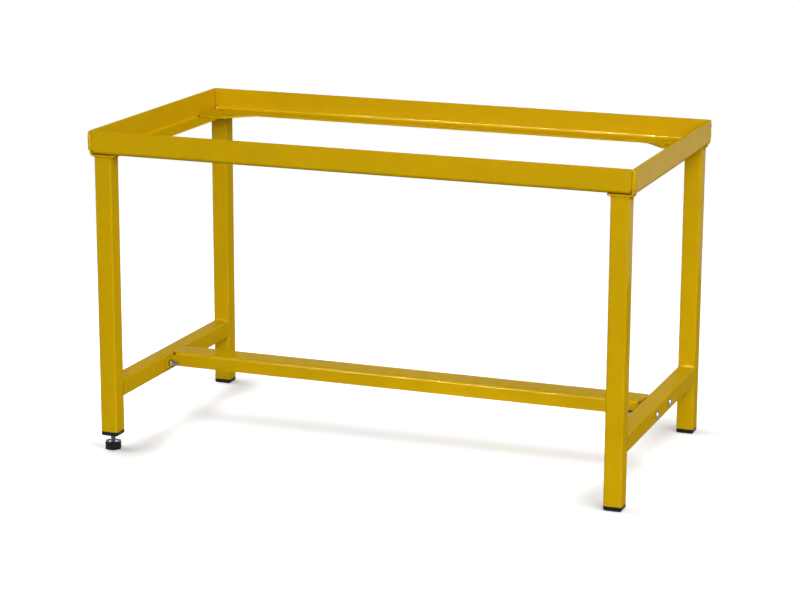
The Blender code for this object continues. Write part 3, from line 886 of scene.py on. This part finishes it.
def bead_mesh(name, start, end, across, section):
    """Rippled and lumpy weld bead with round ends, its section's first axis along across."""
    along = (end - start).normalized()
    side = along.cross(across)
    length = (end - start).length
    reach = max(max(abs(a), abs(b)) for a, b in section)
    count = round(length / BEAD_STEP)
    loops = []
    for station in range(count + 1):
        travel = length * station / count
        from_end = min(travel, length - travel, reach)
        taper = max(BEAD_TIP, math.sqrt(1 - (1 - from_end / reach) ** 2))
        ripple = 1 + BEAD_RIPPLE * math.sin(2 * math.pi * travel / RIPPLE_PITCH)
        centre = start + along * travel
        loop = []
        for first, second in section:
            offset = across * first + side * second
            lump = 1 + BEAD_LUMP * noise.noise((centre + offset) * LUMP_SCALE)
            loop.append(centre + offset * taper * ripple * lump)
        loops.append(loop)
    return loft(name, loops, sharp=False)


def add_bead(name, start, end, across, section):
    add_piece(name, bead_mesh(name, start, end, across, section), "frame_paint", "frame")


def add_tray_weld(corner, x_sign, y_sign):
    """Bead up a corner of the tray, on the end face at the front and on the rear face at the rear."""
    if y_sign < 0:
        across = Vector((x_sign, 0, 0))
        x = TRAY_LENGTH / 2 - TRAY_BEAD_SINK
        y = TRAY_DEPTH / 2 - TRAY_BEAD_IN
    else:
        across = Vector((0, y_sign, 0))
        x = TRAY_LENGTH / 2 - TRAY_BEAD_IN
        y = TRAY_DEPTH / 2 - TRAY_BEAD_SINK
    low = Vector((x_sign * x, y_sign * y, RAIL_UNDERSIDE + TRAY_BEAD_LOW))
    high = Vector((low.x, low.y, TRAY_TOP - TRAY_BEAD_HIGH))
    section = oval_section(TRAY_BEAD_OUT, TRAY_BEAD_INTO, TRAY_BEAD_WIDE)
    add_bead(corner + "_tray_weld", low, high, across, section)


def add_welds():
    for corner, (x_sign, y_sign) in CORNERS.items():
        add_tray_weld(corner, x_sign, y_sign)
        reach = TUBE / 2 - TUBE_CORNER
        for side, out in (("outer", x_sign), ("inner", -x_sign)):
            seam = Vector((x_sign * LEG_X + out * TUBE / 2, y_sign * LEG_Y, END_RAIL_UNDERSIDE))
            ends = [seam + Vector((0, reach * sign, 0)) for sign in (-out, out)]
            add_bead(corner + "_leg_weld_" + side, *ends, Vector((out, 0, 0)), fillet_section(LEG_BEAD))
        for level, z, up in (("upper", CROSS_HIGH.z, 1), ("lower", CROSS_LOW.z, -1)):
            seam = Vector((x_sign * LEG_X, y_sign * (LEG_Y - TUBE / 2), z))
            ends = [seam + Vector((reach * sign * up * y_sign, 0, 0)) for sign in (1, -1)]
            across = Vector((0, -y_sign, 0))
            add_bead(corner + "_cross_weld_" + level, *ends, across, fillet_section(CROSS_BEAD))


# Fasteners

def bolt_mesh():
    """Hex bolt: its head stands on the local origin and its shank runs down from there."""
    tip = -BOLT_LENGTH
    thread_top = tip + BOLT_THREADED
    loops = [circle(BOLT_DIAMETER - 2 * BOLT_PITCH, tip)]
    loops += thread_loops(BOLT_DIAMETER, BOLT_PITCH, tip + CHAMFER, thread_top)
    loops += [
        circle(BOLT_DIAMETER, thread_top + CHAMFER),
        circle(BOLT_DIAMETER, 0),
        circle(BOLT_FLATS - CHAMFER, 0),
        circle(BOLT_FLATS - CHAMFER, SMALL_CORNER),
        hexagon(BOLT_FLATS, SMALL_CORNER),
        hexagon(BOLT_FLATS, BOLT_HEAD - CHAMFER),
        circle(BOLT_FLATS - CHAMFER, BOLT_HEAD),
        circle(BOLT_FLATS * BOLT_DISH_RIM, BOLT_HEAD),
        circle(BOLT_FLATS * BOLT_DISH_FLOOR, BOLT_HEAD - SMALL_CORNER),
    ]
    return loft("stretcher_bolt", loops)


def nut_mesh():
    """Locking nut: a hexagon with a round collar that is rolled in at its top."""
    bore = BOLT_DIAMETER + 2 * SEAT_GAP
    hex_top = NUT_HEIGHT - NUT_COLLAR
    collar = BOLT_FLATS - NUT_COLLAR_INSET
    loops = [
        circle(BOLT_FLATS - CHAMFER, 0),
        hexagon(BOLT_FLATS, CHAMFER),
        hexagon(BOLT_FLATS, hex_top - CHAMFER),
        circle(BOLT_FLATS - CHAMFER, hex_top),
        circle(collar, hex_top),
        circle(collar, NUT_HEIGHT - 2 * CHAMFER),
        circle(collar - CHAMFER, NUT_HEIGHT - CHAMFER / 2),
        circle(collar - 2 * CHAMFER, NUT_HEIGHT),
        circle(bore, NUT_HEIGHT),
        circle(bore, 0),
    ]
    return loft("stretcher_nut", loops, closed=True)


def add_fasteners():
    bolt = bolt_mesh()
    nut = nut_mesh()
    for end, x_sign in ENDS.items():
        for side, y_sign in SIDES.items():
            name = end + "_" + side
            turn = x_sign * QUARTER_TURN
            head = placed(bolt, (x_sign * BOLT_SEAT, y_sign * BOLT_Y, BOLT_Z), turn, "Y")
            add_piece(name + "_bolt_steel", head, "zinc", "frame", name + "_bolt")
            lock = placed(nut, (x_sign * NUT_SEAT, y_sign * BOLT_Y, BOLT_Z), -turn, "Y")
            add_piece(name + "_nut_steel", lock, "zinc", "frame", name + "_nut")


# Feet

def insert_loops():
    """Outside of a leg insert: a rim with a round lower edge, then a plug with tapered fins."""
    loops = []
    for step in range(EDGE_STEPS + 1):
        angle = QUARTER_TURN * step / EDGE_STEPS
        size = TUBE - 2 * CAP_ROUND * (1 - math.sin(angle))
        loops.append(square(size, CAP_ROUND * (1 - math.cos(angle))))
    loops.append(square(TUBE, CAP_RIM - SMALL_CORNER))
    loops.append(square(TUBE - 2 * SMALL_CORNER, CAP_RIM))
    for fin in range(FIN_COUNT):
        loops.append(square(PLUG_SIZE, CAP_RIM + fin * FIN_PITCH))
        loops.append(square(FIN_SIZE, CAP_RIM + (fin + 0.5) * FIN_PITCH))
    loops.append(square(PLUG_SIZE, PLUG_TOP))
    return loops


def add_foot_caps():
    hollow = PLUG_SIZE - 2 * PLUG_WALL
    cap = loft("foot_cap", insert_loops() + [square(hollow, PLUG_TOP), square(hollow, CAP_RIM)])
    for corner, (x_sign, y_sign) in CORNERS.items():
        if corner != LEVELLED_CORNER:
            node = corner + "_foot_cap"
            mesh = placed(cap, (x_sign * LEG_X, y_sign * LEG_Y, 0))
            add_piece(node + "_moulding", mesh, "black_plastic", "frame", node)


def add_threaded_insert(place):
    bore = STUD_DIAMETER + 2 * SEAT_GAP
    pocket = loft("insert_pocket", [
        circle(bore, -CUT_PAST),
        circle(bore, INSERT_NUT_FLOOR),
        hexagon(INSERT_NUT_POCKET, INSERT_NUT_FLOOR),
        hexagon(INSERT_NUT_POCKET, PLUG_TOP + CUT_PAST),
    ])
    mesh = worked_mesh("threaded_insert", loft("insert", insert_loops()), [pocket])
    mesh.set_sharp_from_angle(angle=SHARP_ANGLE)
    mesh.transform(Matrix.Translation(place))
    add_piece("threaded_insert_moulding", mesh, "black_plastic", "frame", "threaded_insert")


def stud_mesh():
    """Levelling stud: a spigot in the base, a collar on it and a rolled thread above."""
    thread_low = COLLAR_SEAT + COLLAR_HEIGHT
    top = STUD_HIGH.z
    loops = [
        circle(STUD_DIAMETER - 2 * CHAMFER, COLLAR_SEAT - STUD_SPIGOT),
        circle(STUD_DIAMETER, COLLAR_SEAT - STUD_SPIGOT + CHAMFER),
        circle(STUD_DIAMETER, COLLAR_SEAT),
        circle(COLLAR_DIAMETER, COLLAR_SEAT),
        circle(COLLAR_DIAMETER, thread_low - SMALL_CORNER),
        circle(COLLAR_DIAMETER - 2 * SMALL_CORNER, thread_low),
        circle(STUD_DIAMETER - STUD_PITCH, thread_low),
        circle(STUD_DIAMETER - STUD_PITCH, thread_low + CHAMFER),
    ]
    loops += thread_loops(STUD_DIAMETER, STUD_PITCH, thread_low + 2 * CHAMFER, top - 2 * CHAMFER)
    loops.append(circle(STUD_DIAMETER - 2 * STUD_PITCH, top))
    return loft("levelling_stud", loops)


def base_mesh():
    """Hexagonal base with round edges, a recess for the stud's collar and a socket for its spigot."""
    recess = COLLAR_DIAMETER + 2 * COLLAR_CLEARANCE
    socket = STUD_DIAMETER + 2 * SEAT_GAP
    recess_floor = BASE_HEIGHT - RECESS_DEPTH
    lower = []
    upper = []
    for step in range(EDGE_STEPS + 1):
        angle = QUARTER_TURN * step / EDGE_STEPS
        flats = BASE_FLATS - 2 * BASE_ROUND * (1 - math.sin(angle))
        rise = BASE_ROUND * (1 - math.cos(angle))
        lower.append(hexagon(flats, rise, BASE_CORNER))
        upper.append(hexagon(flats, BASE_HEIGHT - rise, BASE_CORNER))
    hollow = [
        circle(recess + 2 * SMALL_CORNER, BASE_HEIGHT),
        circle(recess, BASE_HEIGHT - SMALL_CORNER),
        circle(recess, recess_floor),
        circle(socket, recess_floor),
        circle(socket, COLLAR_SEAT - STUD_SPIGOT - SEAT_GAP),
    ]
    return loft("levelling_base", lower + list(reversed(upper)) + hollow)


def add_levelling_foot():
    x_sign, y_sign = CORNERS[LEVELLED_CORNER]
    axis = Vector((x_sign * LEG_X, y_sign * LEG_Y, 0))
    add_threaded_insert(axis + Vector((0, 0, INSERT_LOW.z)))
    add_piece("levelling_stud_thread", placed(stud_mesh(), axis), "zinc", "stud", "levelling_stud")
    base = placed(base_mesh(), axis, BASE_TURN)
    add_piece("levelling_base_moulding", base, "black_plastic", "base", "levelling_base")
    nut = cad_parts["insert_nut"]
    nut.data.materials.clear()
    nut.data.materials.append(FINISHES["zinc"])
    STAND.objects.link(nut)


# Stage, light and camera

def add_floor():
    work = bmesh.new()
    bmesh.ops.create_grid(work, x_segments=1, y_segments=1, size=FLOOR_SIZE / 2)
    floor = scratch_object("floor", finish_mesh("floor", work))
    floor.location.z = -FLOOR_DROP
    floor.data.materials.append(floor_material())
    GROUND.objects.link(floor)


def add_world():
    """White dome that is brighter towards the horizon."""
    world = bpy.data.worlds.new("studio")
    bpy.context.scene.world = world
    world.use_nodes = True
    nodes = world.node_tree.nodes
    links = world.node_tree.links
    height = nodes.new("ShaderNodeSeparateXYZ")
    links.new(nodes.new("ShaderNodeTexCoord").outputs["Generated"], height.inputs[0])
    level = add_range(nodes, links, height.outputs["Z"], 0.0, 1.0, WORLD_LOW, WORLD_HIGH)
    nodes["Background"].inputs["Color"].default_value = (1, 1, 1, 1)
    links.new(level, nodes["Background"].inputs["Strength"])


def add_lamps():
    key = place_light(area_light("key_softbox", KEY_SIZE, KEY_POWER), KEY_PLACE)
    back = place_light(area_light("back_softbox", BACK_SIZE, BACK_POWER), BACK_PLACE)
    top = place_light(area_light("top_softbox", TOP_SIZE, TOP_POWER), TOP_PLACE)
    for lamp in (key, back, top):
        lamp.light_linking.receiver_collection = STAND
    for name, place, x_sign in (("left_softbox", LEFT_PLACE, -1), ("right_softbox", RIGHT_PLACE, 1)):
        light = area_light(name, SIDE_SIZE, SIDE_POWER)
        light.spread = SIDE_SPREAD
        side = place_light(light, place, Vector((x_sign * LEG_X, 0, 0)))
        side.light_linking.receiver_collection = GROUND
    glint = place_light(area_light("glint_box", GLINT_SIZE, GLINT_POWER), GLINT_PLACE)
    glint.data.color = GLINT_COLOR
    right = place_light(area_light("right_card", RIGHT_CARD_SIZE, RIGHT_CARD_POWER), RIGHT_CARD_PLACE)
    rear = place_light(area_light("rear_card", REAR_CARD_SIZE, REAR_CARD_POWER), REAR_CARD_PLACE)
    for mirrored in (glint, right, rear):
        mirrored.visible_diffuse = False
    for mirrored in (glint, right):
        mirrored.light_linking.receiver_collection = PAINTED


def area_light(name, size, power):
    light = bpy.data.lights.new(name, "AREA")
    light.shape = "RECTANGLE"
    light.size, light.size_y = size
    light.energy = power
    return light


def place_light(light, place, aim=STAND_MIDDLE):
    """Put a lamp at a place, aimed at a point and out of the camera's sight."""
    lamp = scratch_object(light.name, light)
    lamp.location = place
    lamp.rotation_euler = (aim - place).to_track_quat("-Z", "Y").to_euler()
    lamp.visible_camera = False
    return lamp


def add_camera():
    data = bpy.data.cameras.new("camera")
    data.sensor_fit = "HORIZONTAL"
    data.sensor_width = SENSOR_WIDTH
    data.lens = FOCAL_PIXELS * SENSOR_WIDTH / FRAME_PIXELS
    camera = scratch_object("camera", data)
    look = (CAMERA_AIM - CAMERA_PLACE).to_track_quat("-Z", "Y").to_matrix()
    turn = look @ Matrix.Rotation(CAMERA_ROLL, 3, "Z")
    camera.matrix_world = Matrix.Translation(CAMERA_PLACE) @ turn.to_4x4()
    bpy.context.scene.camera = camera


STAND = bpy.data.collections.new("stand")
PAINTED = bpy.data.collections.new("painted")
GROUND = bpy.data.collections.new("ground")
FINISHES = {
    "frame_paint": paint_material(),
    "zinc": zinc_material(),
    "black_plastic": plastic_material(),
}
add_tray()
add_legs()
add_cross_rails()
add_stretcher()
add_welds()
add_fasteners()
add_foot_caps()
add_levelling_foot()
add_floor()
add_world()
add_lamps()
add_camera()
bpy.context.scene.view_settings.view_transform = "Standard"
